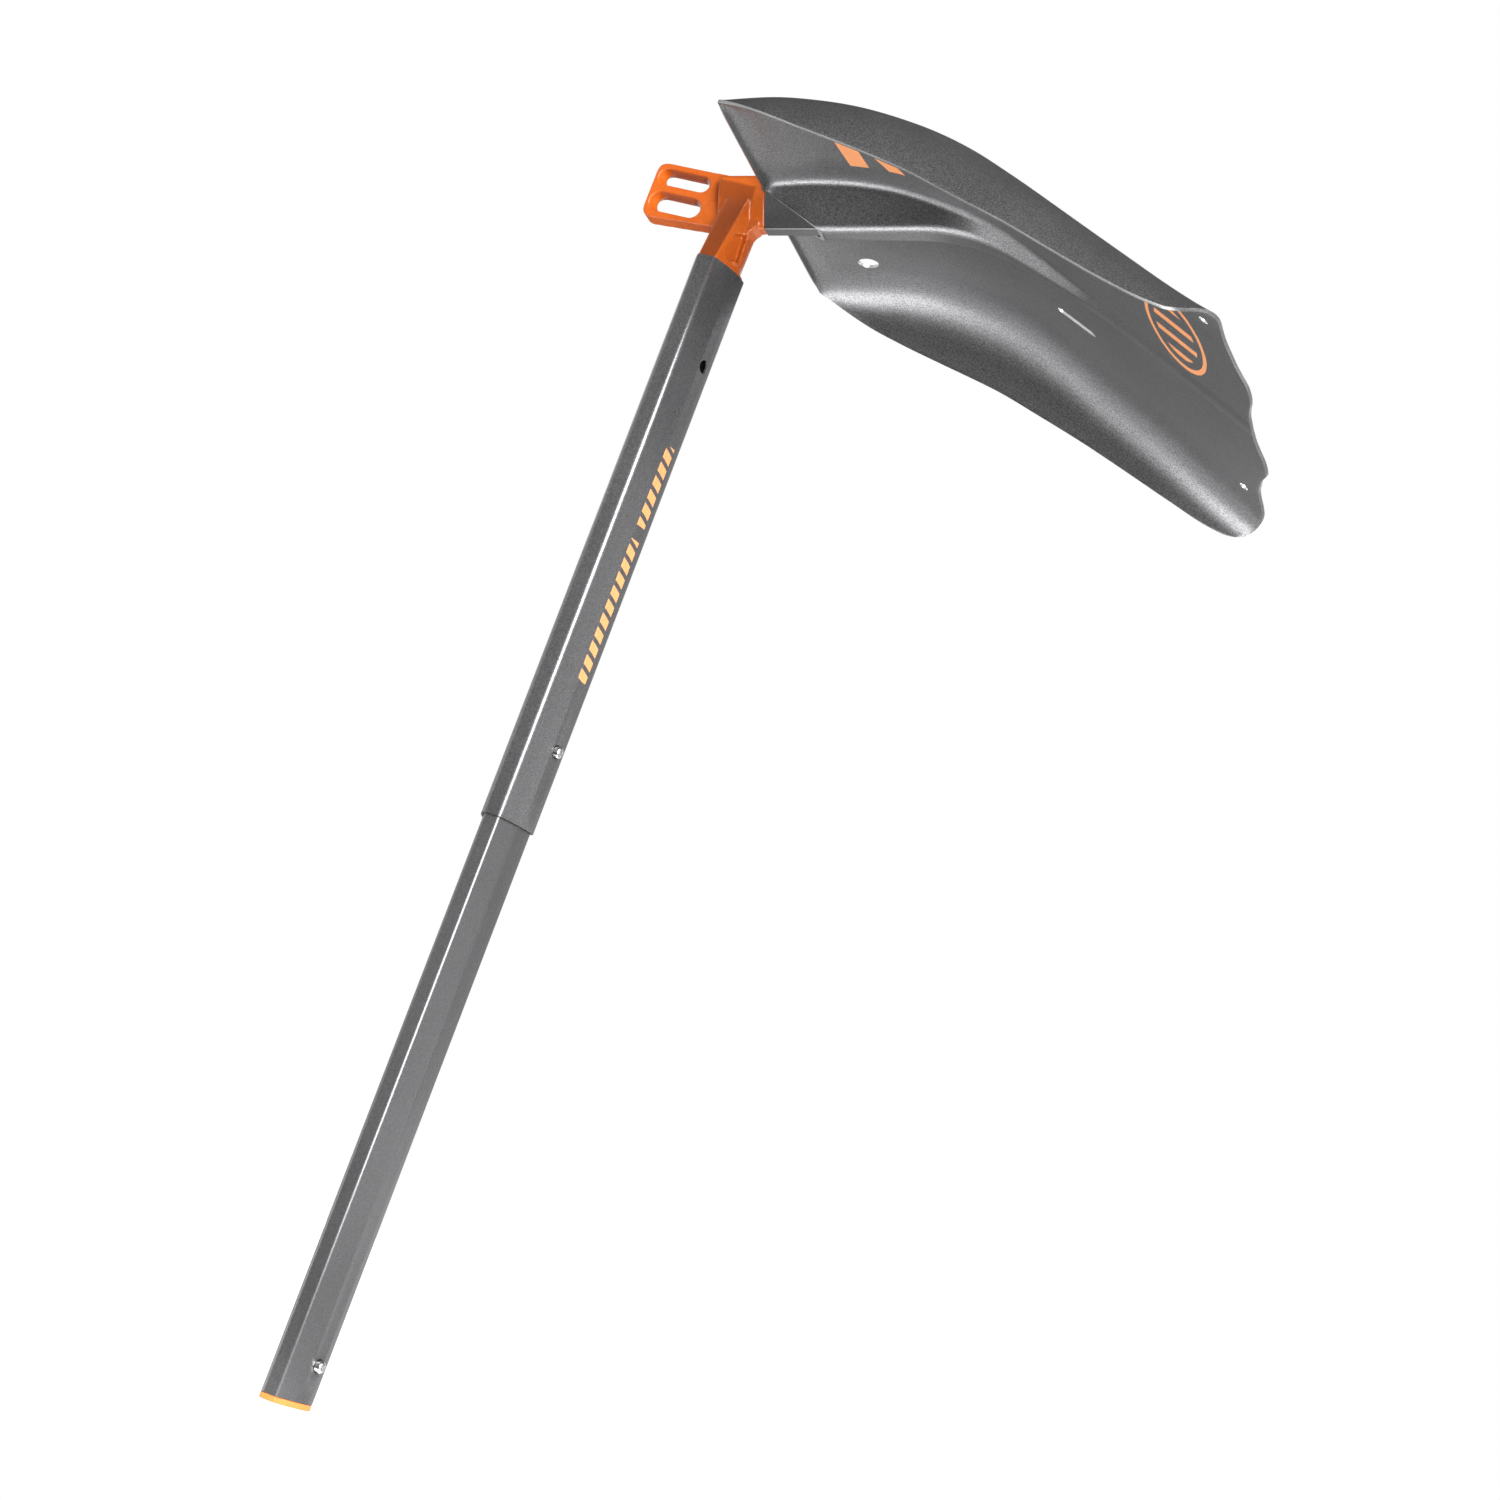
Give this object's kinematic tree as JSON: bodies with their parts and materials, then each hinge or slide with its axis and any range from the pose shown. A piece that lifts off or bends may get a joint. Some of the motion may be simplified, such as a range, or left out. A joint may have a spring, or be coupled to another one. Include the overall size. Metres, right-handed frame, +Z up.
{
  "type": "avalanche shovel",
  "caption": "Two-piece telescoping avalanche shovel with a slotted T-grip, its dished metal blade fitted on the grip's side spigot as a hoe.",
  "frame": {"origin": "centre of the end plug's flat outer face at the shaft's free end", "axes": "+Z up the shaft to the grip, +X from the grip to the blade's cutting edge, +Y across the blade"},
  "size_m": [0.331, 0.27, 0.6527],
  "materials": {
    "blade_anodised": "fine-grained satin dark grey",
    "shaft_anodised": "satin dark grey anodised",
    "grip_orange": "satin orange",
    "plug_orange": "matt pale orange",
    "guide_black": "matt black",
    "button_steel": "bright steel"
  },
  "bodies": {
    "upper_shaft": {"upper_shaft_tube": "shaft_anodised", "grip_casting": "grip_orange", "hoe_spigot_tube": "shaft_anodised", "spigot_end_cap": "guide_black", "spigot_button_spring": "button_steel", "grip_rivet_left": "button_steel", "grip_rivet_right": "button_steel", "spigot_rivet_left": "button_steel", "spigot_rivet_right": "button_steel"},
    "lower_shaft": {"lower_shaft_tube": "shaft_anodised", "shaft_end_plug": "plug_orange", "tube_guide_bush": "guide_black", "telescope_button_spring": "button_steel", "blade_lock_button_spring": "button_steel"},
    "blade_assembly": {"blade": "blade_anodised", "socket_strap": "blade_anodised"},
    "telescope_button": {"telescope_button": "button_steel"},
    "blade_lock_button": {"blade_lock_button": "button_steel"},
    "spigot_button": {"spigot_button": "button_steel"}
  },
  "joints": [
    {"name": "telescope_slide", "type": "slide", "parent": "upper_shaft", "child": "lower_shaft", "axis": [0, 0, 1], "range_m": [0, 0.2049], "deforming": ["telescope_button", "telescope_button_spring"]},
    {"name": "blade_slide", "type": "slide", "parent": "upper_shaft", "child": "blade_assembly", "axis": [0.9748, 0, 0.2233], "range_m": [0, 0.085], "deforming": ["spigot_button", "spigot_button_spring"]},
    {"name": "telescope_button_press", "type": "slide", "parent": "lower_shaft", "child": "telescope_button", "axis": [-1, 0, 0], "range_m": [0, 0.004], "stiffness_N_per_m": 900, "springref_m": -0.001},
    {"name": "blade_lock_button_press", "type": "slide", "parent": "lower_shaft", "child": "blade_lock_button", "axis": [-1, 0, 0], "range_m": [0, 0.0024], "stiffness_N_per_m": 900, "springref_m": -0.001, "deforming": ["blade_lock_button_spring"]},
    {"name": "spigot_button_press", "type": "slide", "parent": "upper_shaft", "child": "spigot_button", "axis": [0, -1, 0], "range_m": [0, 0.004], "stiffness_N_per_m": 900, "springref_m": -0.001}
  ]
}
